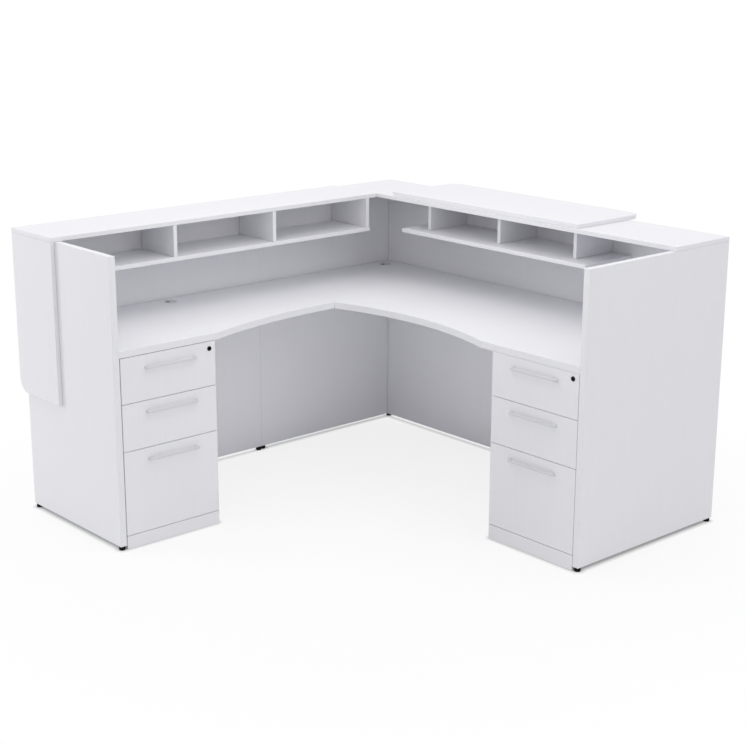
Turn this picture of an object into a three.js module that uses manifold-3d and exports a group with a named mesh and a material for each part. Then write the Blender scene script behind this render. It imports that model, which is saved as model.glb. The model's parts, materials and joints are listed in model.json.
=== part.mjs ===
// Reception desk in white laminate: a main unit, a return at right angles to it, a raised counter
// above both wings with open shelves below it, and a pedestal of three drawers at each open end.
// Millimetres, +Z up. The desk stands on the floor at z = 0, with its box centred on the origin.

import * as THREE from "three";
import { mergeVertices } from "three/addons/utils/BufferGeometryUtils.js";
import Module from "manifold-3d";

const wasm = await Module();
wasm.setup();

// Heights above the floor
const COUNTER_TOP = 1092;
const WORK_TOP = 737;
const FOOT_HEIGHT = 15;
const MAIN_SHELF_TOP = 965;
const RETURN_SHELF_TOP = 953;
const WATERFALL_BOTTOM = 465;

// Board thicknesses, and the assembly gap left where two pieces meet
const GABLE_BOARD = 25.4;
const WORK_BOARD = 25.4;
const COUNTER_BOARD = 16;
const SLAB_BOARD = 16;
const WATERFALL_BOARD = 16;
const BACK_BOARD = 16;
const SHELF_BOARD = 16;
const DIVIDER_BOARD = 16;
const GAP = 0.3;

// Main unit: along X from its left gable, and along -Y from its visitor side
const MAIN_LENGTH = 1821;
const MAIN_DEPTH = 762;
const MAIN_BACK_INSET = 18;
const MAIN_COUNTER_DEPTH = 305;
const MAIN_STRAIGHT = 468;
const MAIN_BOW = 69;

// Slab on the main counter, for visitors to lean and write on
const SLAB_LENGTH = 1020;
const SLAB_START = 343;
const SLAB_OVERHANG = 68;
const SLAB_SETBACK = 8;
const SLAB_CORNER = 50;

// Shelf under the main counter
const MAIN_SHELF_START = 410;
const MAIN_SHELF_LENGTH = 1000;
const MAIN_DIVIDER_SPACING = 396;
const MAIN_DIVIDER_SETBACK = 58;

// Return: along -Y from the front of the main unit, and along X from its visitor side
const RETURN_LENGTH = 1087;
const RETURN_DEPTH = 611;
const RETURN_COUNTER_DEPTH = 280;
const RETURN_OVERHANG = 27;
const RETURN_STRAIGHT = 420;
const RETURN_BOW = 97;
const RETURN_BOW_REACH = 589;
const WATERFALL_CORNER = 55;

// Shelf under the return's counter: its bays from the gable inwards, its end short of the main counter
// and the lip past the last divider
const RETURN_BAYS = [486, 461];
const RETURN_SHELF_INSET = 40.6;
const RETURN_SHELF_LIP = 4;

// Levelling feet
const FOOT_PAD_DIAMETER = 23;
const FOOT_PAD_HEIGHT = 12.5;
const FOOT_COLLAR_DIAMETER = 14;
const FOOT_STEM_DIAMETER = 8;
const FOOT_STEM_LENGTH = 25;
const FOOT_INSET = 13;

// Cable grommets, each at its distance from the gable and from the back panel
const GROMMET_FLANGE_DIAMETER = 50;
const GROMMET_FLANGE = 2;
const GROMMET_HOLE = 44;
const GROMMET_WALL = 2;
const GROMMET_DEPTH = 20;
const GROMMET_LIP = 1.5;
const GROMMET_CAP = 3;
const GROMMET_SLOT_WIDTH = 20;
const GROMMET_SLOT_DEPTH = 10;
const MAIN_GROMMET_FROM_GABLE = 68;
const MAIN_GROMMET_FROM_BACK = 80;
const RETURN_GROMMET_FROM_GABLE = 575;
const RETURN_GROMMET_FROM_BACK = 60;

// Pedestals: their plinths, and the gaps around their fronts
const PEDESTAL_WIDTH = 409;
const PEDESTAL_BOARD = 16;
const MAIN_CLEARANCE = 0.5;
const RETURN_CLEARANCE = 2;
const MAIN_PLINTH = 55;
const RETURN_PLINTH = 48.5;
const FRONT_BOARD = 18;
const REVEAL = 2;
const SIDE_REVEAL = 1.5;
const MAIN_TOP_REVEAL = 0.6;
const RETURN_TOP_REVEAL = 2;
const FILE_FRONT = 314;
const MIDDLE_FRONT = 173.5;

// Drawer boxes
const BOX_LENGTH = 500;
const BOX_WALL = 12;
const BOX_FLOOR = 8;
const BOX_LIFT = 14;
const BOX_DROP = 50;

// Runners: a plate of channels on each pedestal side, and the rib of the drawer box that slides in one
const RIB_WIDTH = 10;
const RIB_HEIGHT = 10;
const RIB_LIFT = 30;
const RUNNER_PLATE = 2;
const RUNNER_LEDGE = 2;
const RUNNER_LEDGE_DEPTH = 9;
const RUNNER_LENGTH = 480;
const RUN_CLEARANCE = 0.3;

// Bar handles: the height of the lower two above the lower edge of their fronts, the drop of the top one
// below the upper edge of its front, and the return's shift off the middle
const HANDLE_LENGTH = 220;
const HANDLE_HEIGHT = 10;
const HANDLE_STANDOFF = 16;
const HANDLE_BAR = 5;
const HANDLE_LEG = 14;
const HANDLE_CORNER = 9;
const FILE_HANDLE = 272;
const MIDDLE_HANDLE = 133;
const MAIN_TOP_HANDLE_DROP = 42;
const RETURN_TOP_HANDLE_DROP = 47.1;
const RETURN_HANDLE_SHIFT = 7;

// Locks in the top drawers
const LOCK_FLANGE_DIAMETER = 17;
const LOCK_FLANGE = 2.5;
const LOCK_BARREL_DIAMETER = 13;
const LOCK_FROM_SIDE = 28.2;
const LOCK_ABOVE_HANDLE = 21;

// Sides of a round piece, and steps along one curve of an outline
const ROUND_SIDES = 32;
const CURVE_STEPS = 16;

// Heights and faces that several pieces share
const UNDER_COUNTER = COUNTER_TOP - COUNTER_BOARD;
const UNDER_WORK = WORK_TOP - WORK_BOARD;
const PANEL_TOP = UNDER_COUNTER - GAP;
const INNER_LEFT = GABLE_BOARD;
const INNER_RIGHT = MAIN_LENGTH - GABLE_BOARD;
const INNER_BACK = -MAIN_BACK_INSET - BACK_BOARD;
const RETURN_END = -MAIN_DEPTH - RETURN_LENGTH;
const INNER_END = RETURN_END + GABLE_BOARD;
const OUTER_END = RETURN_END - GAP - WATERFALL_BOARD;
const RETURN_COUNTER_EDGE = RETURN_COUNTER_DEPTH - RETURN_OVERHANG;

// Colours, roughness and metalness of the materials
const FINISHES = {
  laminate: { color: 0xe8eaec, roughness: 0.45, metalness: 0 },
  drawerBox: { color: 0xcfd1d2, roughness: 0.6, metalness: 0 },
  zinc: { color: 0xb4b7ba, roughness: 0.4, metalness: 1 },
  handle: { color: 0xd6d8da, roughness: 0.35, metalness: 0.6 },
  black: { color: 0x16171a, roughness: 0.5, metalness: 0 },
  grommet: { color: 0xb9bbbe, roughness: 0.5, metalness: 0 },
};

const desk = new THREE.Group();

/** A closed geometry as a solid that can be cut and joined. */
function toSolid(geometry) {
  const bare = geometry.clone();
  bare.deleteAttribute("normal");
  bare.deleteAttribute("uv");
  const merged = mergeVertices(bare);
  const vertProperties = new Float32Array(merged.attributes.position.array);
  const triVerts = new Uint32Array(merged.index.array);
  return new wasm.Manifold(new wasm.Mesh({ numProp: 3, vertProperties, triVerts }));
}

/** The geometry of a solid, after its cuts and joins. */
function toGeometry(solid) {
  const mesh = solid.getMesh();
  const geometry = new THREE.BufferGeometry();
  geometry.setAttribute("position", new THREE.BufferAttribute(mesh.vertProperties, 3));
  geometry.setIndex(new THREE.BufferAttribute(mesh.triVerts, 1));
  geometry.computeVertexNormals();
  return geometry;
}

/** A named piece in its own material, added to a group. */
function addPiece(group, name, geometry, finish) {
  const mesh = new THREE.Mesh(geometry, new THREE.MeshStandardMaterial(FINISHES[finish]));
  mesh.name = name;
  group.add(mesh);
  return mesh;
}

/** A block between two places on each axis. */
function block([x0, x1], [y0, y1], [z0, z1]) {
  const geometry = new THREE.BoxGeometry(x1 - x0, y1 - y0, z1 - z0);
  return geometry.translate((x0 + x1) / 2, (y0 + y1) / 2, (z0 + z1) / 2);
}

/** A board as a named piece. */
function addBoard(group, name, x, y, z) {
  return addPiece(group, name, block(x, y, z), "laminate");
}

/** A solid of revolution about Z, from its radii and heights. */
function turned(profile) {
  const points = profile.map(([radius, height]) => new THREE.Vector2(radius, height));
  return new THREE.LatheGeometry(points, ROUND_SIDES).rotateX(Math.PI / 2);
}

/** An outline drawn in plan, as a plate that rises from a height. */
function plate(shape, bottom, thickness) {
  const options = { depth: thickness, bevelEnabled: false, curveSegments: CURVE_STEPS };
  return new THREE.ExtrudeGeometry(shape, options).translate(0, 0, bottom);
}

/** An outline drawn in X and Z, as a board that runs from a Y towards +Y. */
function upright(shape, front, thickness) {
  return plate(shape, -front - thickness, thickness).rotateX(Math.PI / 2);
}

/** A rectangle between two places on each axis. */
function rectangle([x0, x1], [y0, y1]) {
  const shape = new THREE.Shape();
  shape.moveTo(x0, y0).lineTo(x1, y0).lineTo(x1, y1).lineTo(x0, y1).closePath();
  return shape;
}

/** A round hole in an outline. */
function cutHole(shape, x, y, diameter) {
  const hole = new THREE.Path();
  hole.absarc(x, y, diameter / 2, 0, 2 * Math.PI, true);
  shape.holes.push(hole);
}

/** Radius of the arc that rises by a bow over half a chord. */
function bowRadius(halfChord, bow) {
  return (halfChord ** 2 + bow ** 2) / (2 * bow);
}

/** An upright panel on levelling feet, with a blind hole for the stem of each foot. */
function addFootedPanel(name, x, y, feet) {
  let solid = toSolid(block(x, y, [FOOT_HEIGHT, PANEL_TOP]));
  const radius = FOOT_STEM_DIAMETER / 2 + GAP;
  const depth = FOOT_STEM_LENGTH + GAP;
  for (const foot of feet) {
    const drill = new THREE.CylinderGeometry(radius, radius, 2 * depth, ROUND_SIDES).rotateX(Math.PI / 2);
    solid = solid.subtract(toSolid(drill.translate(foot.x, foot.y, FOOT_HEIGHT)));
    addFoot(foot);
  }
  addPiece(desk, name, toGeometry(solid), "laminate");
}

/** A levelling foot: a pad on the floor, a collar under the panel and a stem that screws into it. */
function addFoot({ name, x, y }) {
  const pad = FOOT_PAD_DIAMETER / 2;
  const collar = FOOT_COLLAR_DIAMETER / 2;
  const stem = FOOT_STEM_DIAMETER / 2;
  const collarTop = FOOT_HEIGHT - GAP;
  const stemTop = FOOT_HEIGHT + FOOT_STEM_LENGTH;
  const profile = [
    [0, 0],
    [pad, 0],
    [pad, FOOT_PAD_HEIGHT],
    [collar, FOOT_PAD_HEIGHT],
    [collar, collarTop],
    [stem, collarTop],
    [stem, stemTop],
    [0, stemTop],
  ];
  addPiece(desk, name, turned(profile), "black").position.set(x, y, 0);
}

/** Gables and back panels of both wings, each on its feet. */
function addPanels() {
  const leftMiddle = GABLE_BOARD / 2;
  const rightMiddle = MAIN_LENGTH - GABLE_BOARD / 2;
  const endMiddle = RETURN_END + GABLE_BOARD / 2;
  const returnBackMiddle = INNER_LEFT - BACK_BOARD / 2;
  const mainFront = -MAIN_DEPTH + FOOT_INSET;
  addFootedPanel("main_left_gable", [0, INNER_LEFT], [-MAIN_DEPTH, 0], [
    { name: "foot_main_left_back", x: leftMiddle, y: -FOOT_INSET },
    { name: "foot_main_left_front", x: leftMiddle, y: mainFront },
  ]);
  addFootedPanel("main_right_gable", [INNER_RIGHT, MAIN_LENGTH], [-MAIN_DEPTH, 0], [
    { name: "foot_main_right_back", x: rightMiddle, y: -FOOT_INSET },
    { name: "foot_main_right_front", x: rightMiddle, y: mainFront },
  ]);
  addFootedPanel("return_gable", [0, RETURN_DEPTH], [RETURN_END, INNER_END], [
    { name: "foot_return_gable_back", x: FOOT_INSET, y: endMiddle },
    { name: "foot_return_gable_front", x: RETURN_DEPTH - FOOT_INSET, y: endMiddle },
  ]);
  const returnBackX = [INNER_LEFT - BACK_BOARD, INNER_LEFT];
  addFootedPanel("return_back_panel", returnBackX, [INNER_END + GAP, -MAIN_DEPTH - GAP], [
    { name: "foot_return_back", x: returnBackMiddle, y: -MAIN_DEPTH - GAP - FOOT_INSET },
  ]);
  const mainBackX = [INNER_LEFT + GAP, INNER_RIGHT - GAP];
  const mainBackY = [INNER_BACK, INNER_BACK + BACK_BOARD];
  addBoard(desk, "main_back_panel", mainBackX, mainBackY, [FOOT_HEIGHT, PANEL_TOP]);
}

/** Counter tops, the slab on the main counter and the panel that hangs from the return's end. */
function addCounters() {
  const counterZ = [UNDER_COUNTER, COUNTER_TOP];
  addBoard(desk, "main_counter", [0, MAIN_LENGTH], [-MAIN_COUNTER_DEPTH, 0], counterZ);
  const returnX = [-RETURN_OVERHANG, RETURN_COUNTER_EDGE];
  addBoard(desk, "return_counter", returnX, [OUTER_END, -MAIN_COUNTER_DEPTH - GAP], counterZ);

  const slabEnd = SLAB_START + SLAB_LENGTH;
  const slabFront = SLAB_SETBACK - MAIN_COUNTER_DEPTH;
  const cornerY = SLAB_OVERHANG - SLAB_CORNER;
  const slab = new THREE.Shape();
  slab.moveTo(SLAB_START, slabFront).lineTo(slabEnd, slabFront).lineTo(slabEnd, cornerY);
  slab.absarc(slabEnd - SLAB_CORNER, cornerY, SLAB_CORNER, 0, Math.PI / 2, false);
  slab.lineTo(SLAB_START + SLAB_CORNER, SLAB_OVERHANG);
  slab.absarc(SLAB_START + SLAB_CORNER, cornerY, SLAB_CORNER, Math.PI / 2, Math.PI, false);
  slab.closePath();
  addPiece(desk, "raised_slab", plate(slab, COUNTER_TOP + GAP, SLAB_BOARD - GAP), "laminate");

  const outer = -RETURN_OVERHANG;
  const hanging = new THREE.Shape();
  hanging.moveTo(outer + WATERFALL_CORNER, WATERFALL_BOTTOM).lineTo(RETURN_COUNTER_EDGE, WATERFALL_BOTTOM);
  hanging.lineTo(RETURN_COUNTER_EDGE, PANEL_TOP).lineTo(outer, PANEL_TOP);
  hanging.lineTo(outer, WATERFALL_BOTTOM + WATERFALL_CORNER);
  const cornerX = outer + WATERFALL_CORNER;
  const cornerZ = WATERFALL_BOTTOM + WATERFALL_CORNER;
  hanging.absarc(cornerX, cornerZ, WATERFALL_CORNER, Math.PI, 1.5 * Math.PI, false);
  addPiece(desk, "waterfall_panel", upright(hanging, OUTER_END, WATERFALL_BOARD), "laminate");
}

/** Work surfaces, whose front edges bow in between the pedestals, and their cable grommets. */
function addWorkSurfaces() {
  const seam = -MAIN_DEPTH - GAP;
  const bowStart = INNER_END + RETURN_STRAIGHT;
  const returnRadius = bowRadius(RETURN_BOW_REACH, RETURN_BOW);
  const returnBow = new THREE.Vector2(RETURN_DEPTH - RETURN_BOW + returnRadius, bowStart + RETURN_BOW_REACH);
  const startAngle = Math.PI + Math.asin(RETURN_BOW_REACH / returnRadius);
  const seamAngle = Math.PI - Math.asin((seam - returnBow.y) / returnRadius);
  const cornerX = returnBow.x + returnRadius * Math.cos(seamAngle);

  const back = INNER_LEFT + GAP;
  const surface = new THREE.Shape();
  surface.moveTo(back, INNER_END + GAP).lineTo(RETURN_DEPTH, INNER_END + GAP).lineTo(RETURN_DEPTH, bowStart);
  surface.absarc(returnBow.x, returnBow.y, returnRadius, startAngle, seamAngle, true);
  surface.lineTo(back, seam).closePath();
  const returnX = INNER_LEFT + RETURN_GROMMET_FROM_BACK;
  const returnY = INNER_END + RETURN_GROMMET_FROM_GABLE;
  cutHole(surface, returnX, returnY, GROMMET_HOLE);
  addPiece(desk, "return_worksurface", plate(surface, UNDER_WORK, WORK_BOARD), "laminate");
  addGrommet("return", returnX, returnY);

  const bowEnd = INNER_RIGHT - MAIN_STRAIGHT;
  const half = (bowEnd - cornerX) / 2;
  const mainRadius = bowRadius(half, MAIN_BOW);
  const halfAngle = Math.asin(half / mainRadius);
  const mainBow = new THREE.Vector2(cornerX + half, MAIN_BOW - MAIN_DEPTH - mainRadius);
  const rear = INNER_BACK - GAP;
  const main = new THREE.Shape();
  main.moveTo(back, rear).lineTo(back, -MAIN_DEPTH).lineTo(cornerX, -MAIN_DEPTH);
  main.absarc(mainBow.x, mainBow.y, mainRadius, Math.PI / 2 + halfAngle, Math.PI / 2 - halfAngle, true);
  main.lineTo(INNER_RIGHT - GAP, -MAIN_DEPTH).lineTo(INNER_RIGHT - GAP, rear).closePath();
  const mainX = INNER_LEFT + MAIN_GROMMET_FROM_GABLE;
  const mainY = INNER_BACK - MAIN_GROMMET_FROM_BACK;
  cutHole(main, mainX, mainY, GROMMET_HOLE);
  addPiece(desk, "main_worksurface", plate(main, UNDER_WORK, WORK_BOARD), "laminate");
  addGrommet("main", mainX, mainY);
}

/** A cable grommet: a flanged sleeve in the work surface, and a cap with a slot that turns in it. */
function addGrommet(prefix, x, y) {
  const flange = GROMMET_FLANGE_DIAMETER / 2;
  const sleeve = GROMMET_HOLE / 2 - GAP;
  const bore = sleeve - GROMMET_WALL;
  const top = WORK_TOP + GAP + GROMMET_FLANGE;
  const seat = top - GROMMET_CAP - GAP;
  const bottom = WORK_TOP - GROMMET_DEPTH;
  const ring = [
    [bore - GROMMET_LIP, bottom],
    [sleeve, bottom],
    [sleeve, WORK_TOP + GAP],
    [flange, WORK_TOP + GAP],
    [flange, top],
    [bore, top],
    [bore, seat],
    [bore - GROMMET_LIP, seat],
    [bore - GROMMET_LIP, bottom],
  ];
  addPiece(desk, `${prefix}_grommet_ring`, turned(ring), "grommet").position.set(x, y, 0);

  const radius = bore - GAP;
  const half = GROMMET_SLOT_WIDTH / 2;
  const edge = Math.asin(half / radius);
  const cap = new THREE.Shape();
  cap.moveTo(-half, GROMMET_SLOT_DEPTH - radius).lineTo(-half, -radius * Math.cos(edge));
  cap.absarc(0, 0, radius, 1.5 * Math.PI - edge, -0.5 * Math.PI + edge, true);
  cap.lineTo(half, GROMMET_SLOT_DEPTH - radius).closePath();
  const disc = plate(cap, seat + GAP, GROMMET_CAP);
  addPiece(desk, `${prefix}_grommet_cap`, disc, "grommet").position.set(x, y, 0);
}

/** Shelves that hang below both counters on their dividers. */
function addShelves() {
  const mainY = [-MAIN_COUNTER_DEPTH, INNER_BACK - GAP];
  const mainX = [MAIN_SHELF_START, MAIN_SHELF_START + MAIN_SHELF_LENGTH];
  addBoard(desk, "main_shelf", mainX, mainY, [MAIN_SHELF_TOP - SHELF_BOARD, MAIN_SHELF_TOP]);
  const dividerY = [MAIN_DIVIDER_SETBACK - MAIN_COUNTER_DEPTH, INNER_BACK - GAP];
  const middle = MAIN_SHELF_START + MAIN_SHELF_LENGTH / 2;
  for (let i = 0; i < 3; i += 1) {
    const left = middle + (i - 1) * MAIN_DIVIDER_SPACING - DIVIDER_BOARD / 2;
    const dividerZ = [MAIN_SHELF_TOP + GAP, PANEL_TOP];
    addBoard(desk, `main_divider_${i + 1}`, [left, left + DIVIDER_BOARD], dividerY, dividerZ);
  }

  const returnX = [INNER_LEFT + GAP, RETURN_COUNTER_EDGE];
  const shelfEnd = -MAIN_COUNTER_DEPTH - RETURN_SHELF_INSET;
  const shelfY = [INNER_END + GAP, shelfEnd];
  addBoard(desk, "return_shelf", returnX, shelfY, [RETURN_SHELF_TOP - SHELF_BOARD, RETURN_SHELF_TOP]);
  const [firstBay, secondBay] = RETURN_BAYS;
  const firstDivider = INNER_END + firstBay;
  const secondDivider = firstDivider + DIVIDER_BOARD + secondBay;
  const lastDivider = shelfEnd - RETURN_SHELF_LIP - DIVIDER_BOARD;
  [firstDivider, secondDivider, lastDivider].forEach((start, i) => {
    const returnY = [start, start + DIVIDER_BOARD];
    addBoard(desk, `return_divider_${i + 1}`, returnX, returnY, [RETURN_SHELF_TOP + GAP, PANEL_TOP]);
  });
}

/** The three drawers above a plinth: their names, their fronts and the heights of their handles. */
function drawerLevels(plinth, topReveal, topHandleDrop) {
  const fileBottom = plinth + REVEAL;
  const middleBottom = fileBottom + FILE_FRONT + REVEAL;
  const topBottom = middleBottom + MIDDLE_FRONT + REVEAL;
  const topFront = UNDER_WORK - topReveal - topBottom;
  return [
    { name: "file_drawer", bottom: fileBottom, front: FILE_FRONT, handle: FILE_HANDLE },
    { name: "middle_drawer", bottom: middleBottom, front: MIDDLE_FRONT, handle: MIDDLE_HANDLE },
    { name: "top_drawer", bottom: topBottom, front: topFront, handle: topFront - topHandleDrop },
  ];
}

/** Height of the underside of a drawer's ribs. */
function ribBottom(level) {
  return level.bottom + BOX_LIFT + RIB_LIFT;
}

/** Face of the runner plate on the left side of a pedestal. */
function runnerFace() {
  return PEDESTAL_BOARD + GAP + RUNNER_PLATE;
}

/**
 * A pedestal with its front on y = 0, its depth along +Y and its width along X: two sides,
 * a base with the plinth, a plate of runner channels on each side and three drawers.
 */
function makePedestal({ prefix, depth, plinthHeight, topReveal, topHandleDrop, handleShift }) {
  const unit = new THREE.Group();
  const sideY = [FRONT_BOARD + GAP, depth - GAP];
  const sideZ = [0, UNDER_WORK - GAP];
  const right = PEDESTAL_WIDTH - GAP;
  addBoard(unit, `${prefix}_pedestal_side_left`, [GAP, PEDESTAL_BOARD], sideY, sideZ);
  addBoard(unit, `${prefix}_pedestal_side_right`, [PEDESTAL_WIDTH - PEDESTAL_BOARD, right], sideY, sideZ);

  const plinthX = [SIDE_REVEAL, PEDESTAL_WIDTH - SIDE_REVEAL];
  const plinth = toSolid(block(plinthX, [0, FRONT_BOARD], [0, plinthHeight]));
  const floorX = [PEDESTAL_BOARD + GAP, PEDESTAL_WIDTH - PEDESTAL_BOARD - GAP];
  const floorZ = [plinthHeight - PEDESTAL_BOARD, plinthHeight];
  const floor = toSolid(block(floorX, [FRONT_BOARD / 2, depth - GAP], floorZ));
  addPiece(unit, `${prefix}_pedestal_base`, toGeometry(plinth.add(floor)), "laminate");

  const levels = drawerLevels(plinthHeight, topReveal, topHandleDrop);
  addPiece(unit, `${prefix}_runner_left`, runnerGeometry(levels, 0, 1), "zinc");
  addPiece(unit, `${prefix}_runner_right`, runnerGeometry(levels, PEDESTAL_WIDTH, -1), "zinc");
  for (const level of levels) {
    addDrawer(unit, prefix, level, handleShift);
  }
  return unit;
}

/** A plate with one channel for each drawer, from the outside of the pedestal inwards. */
function runnerGeometry(levels, outside, inwards) {
  const at = (distance) => outside + inwards * distance;
  const back = at(PEDESTAL_BOARD + GAP);
  const face = at(runnerFace());
  const edge = at(runnerFace() + RUNNER_LEDGE_DEPTH);
  const shape = new THREE.Shape();
  shape.moveTo(back, ribBottom(levels[0]) - RUN_CLEARANCE - RUNNER_LEDGE);
  for (const level of levels) {
    const low = ribBottom(level) - RUN_CLEARANCE;
    const high = ribBottom(level) + RIB_HEIGHT + RUN_CLEARANCE;
    if (level !== levels[0]) {
      shape.lineTo(face, low - RUNNER_LEDGE);
    }
    shape.lineTo(edge, low - RUNNER_LEDGE).lineTo(edge, low).lineTo(face, low);
    shape.lineTo(face, high).lineTo(edge, high).lineTo(edge, high + RUNNER_LEDGE);
    if (level !== levels.at(-1)) {
      shape.lineTo(face, high + RUNNER_LEDGE);
    } else {
      shape.lineTo(back, high + RUNNER_LEDGE);
    }
  }
  shape.closePath();
  return upright(shape, FRONT_BOARD + GAP, RUNNER_LENGTH);
}

/** A drawer: its front with a handle, its box with a rib on each side and, on the top one, a lock. */
function addDrawer(unit, prefix, level, handleShift) {
  const name = `${prefix}_${level.name}`;
  const frontZ = [level.bottom, level.bottom + level.front];
  const front = rectangle([SIDE_REVEAL, PEDESTAL_WIDTH - SIDE_REVEAL], frontZ);
  if (level.name === "top_drawer") {
    const lockX = PEDESTAL_WIDTH - LOCK_FROM_SIDE;
    const lockZ = level.bottom + level.handle + LOCK_ABOVE_HANDLE;
    cutHole(front, lockX, lockZ, LOCK_BARREL_DIAMETER + 2 * GAP);
    addLock(unit, `${prefix}_lock`, lockX, lockZ);
  }
  addPiece(unit, `${name}_front`, upright(front, 0, FRONT_BOARD), "laminate");
  addPiece(unit, `${name}_box`, boxGeometry(level), "drawerBox");
  const handle = addPiece(unit, `${name}_handle`, handleGeometry(), "handle");
  handle.position.set(PEDESTAL_WIDTH / 2 + handleShift, -GAP, level.bottom + level.handle);
}

/** An open box behind its front, with a rib along each side. */
function boxGeometry(level) {
  const side = runnerFace() + RUN_CLEARANCE + RIB_WIDTH;
  const x = [side, PEDESTAL_WIDTH - side];
  const y = [FRONT_BOARD + GAP, FRONT_BOARD + GAP + BOX_LENGTH];
  const bottom = level.bottom + BOX_LIFT;
  const top = level.bottom + level.front - BOX_DROP;
  const inX = [x[0] + BOX_WALL, x[1] - BOX_WALL];
  const inY = [y[0] + BOX_WALL, y[1] - BOX_WALL];
  const cavity = toSolid(block(inX, inY, [bottom + BOX_FLOOR, top + BOX_WALL]));
  const ribZ = [ribBottom(level), ribBottom(level) + RIB_HEIGHT];
  const half = BOX_WALL / 2;
  const leftRib = toSolid(block([x[0] - RIB_WIDTH, x[0] + half], y, ribZ));
  const rightRib = toSolid(block([x[1] - half, x[1] + RIB_WIDTH], y, ribZ));
  return toGeometry(toSolid(block(x, y, [bottom, top])).subtract(cavity).add(leftRib).add(rightRib));
}

/** A bar handle on two legs with rounded corners, in front of y = 0 and centred on x and z. */
function handleGeometry() {
  const end = HANDLE_LENGTH / 2;
  const leg = end - HANDLE_LEG;
  const rear = HANDLE_BAR - HANDLE_STANDOFF;
  const cornerX = end - HANDLE_CORNER;
  const cornerY = HANDLE_CORNER - HANDLE_STANDOFF;
  const shape = new THREE.Shape();
  shape.moveTo(-cornerX, -HANDLE_STANDOFF).lineTo(cornerX, -HANDLE_STANDOFF);
  shape.absarc(cornerX, cornerY, HANDLE_CORNER, -Math.PI / 2, 0, false);
  shape.lineTo(end, 0).lineTo(leg, 0).lineTo(leg, rear);
  shape.lineTo(-leg, rear).lineTo(-leg, 0).lineTo(-end, 0).lineTo(-end, cornerY);
  shape.absarc(-cornerX, cornerY, HANDLE_CORNER, Math.PI, 1.5 * Math.PI, false);
  return plate(shape, -HANDLE_HEIGHT / 2, HANDLE_HEIGHT);
}

/** A lock cylinder that turns in the drawer front: a flange on its face and a barrel through it. */
function addLock(unit, name, x, z) {
  const flange = LOCK_FLANGE_DIAMETER / 2;
  const barrel = LOCK_BARREL_DIAMETER / 2;
  const profile = [
    [0, -FRONT_BOARD],
    [barrel, -FRONT_BOARD],
    [barrel, GAP],
    [flange, GAP],
    [flange, GAP + LOCK_FLANGE],
    [0, GAP + LOCK_FLANGE],
  ];
  const lock = addPiece(unit, name, turned(profile).rotateX(Math.PI / 2), "black");
  lock.position.set(x, 0, z);
}

/** A pedestal at the open end of each wing, with its front under the work surface's straight edge. */
function addPedestals() {
  const main = makePedestal({
    prefix: "main",
    depth: MAIN_DEPTH + INNER_BACK,
    plinthHeight: MAIN_PLINTH,
    topReveal: MAIN_TOP_REVEAL,
    topHandleDrop: MAIN_TOP_HANDLE_DROP,
    handleShift: 0,
  });
  main.position.set(INNER_RIGHT - MAIN_CLEARANCE - PEDESTAL_WIDTH, -MAIN_DEPTH, 0);
  desk.add(main);
  const returning = makePedestal({
    prefix: "return",
    depth: RETURN_DEPTH - INNER_LEFT,
    plinthHeight: RETURN_PLINTH,
    topReveal: RETURN_TOP_REVEAL,
    topHandleDrop: RETURN_TOP_HANDLE_DROP,
    handleShift: RETURN_HANDLE_SHIFT,
  });
  returning.rotation.z = Math.PI / 2;
  returning.position.set(RETURN_DEPTH, INNER_END + RETURN_CLEARANCE, 0);
  desk.add(returning);
}

addPanels();
addCounters();
addWorkSurfaces();
addShelves();
addPedestals();

const box = new THREE.Box3(
  new THREE.Vector3(-RETURN_OVERHANG, OUTER_END, 0),
  new THREE.Vector3(MAIN_LENGTH, SLAB_OVERHANG, COUNTER_TOP + SLAB_BOARD),
);
const middle = box.getCenter(new THREE.Vector3());
desk.position.set(-middle.x, -middle.y, 0);

export default desk;
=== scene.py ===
"""White laminate reception desk, dressed around its CAD frame.

Each piece starts from its CAD node or from a bmesh shape, gets the rounded edges, edge bands and
small parts of the real desk, and rides on the node's body. Metres, +Z up.
"""

import json
import math

import bmesh
import bpy
from bpy.props import FloatProperty, FloatVectorProperty, PointerProperty
from mathutils import Euler, Matrix, Vector

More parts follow.
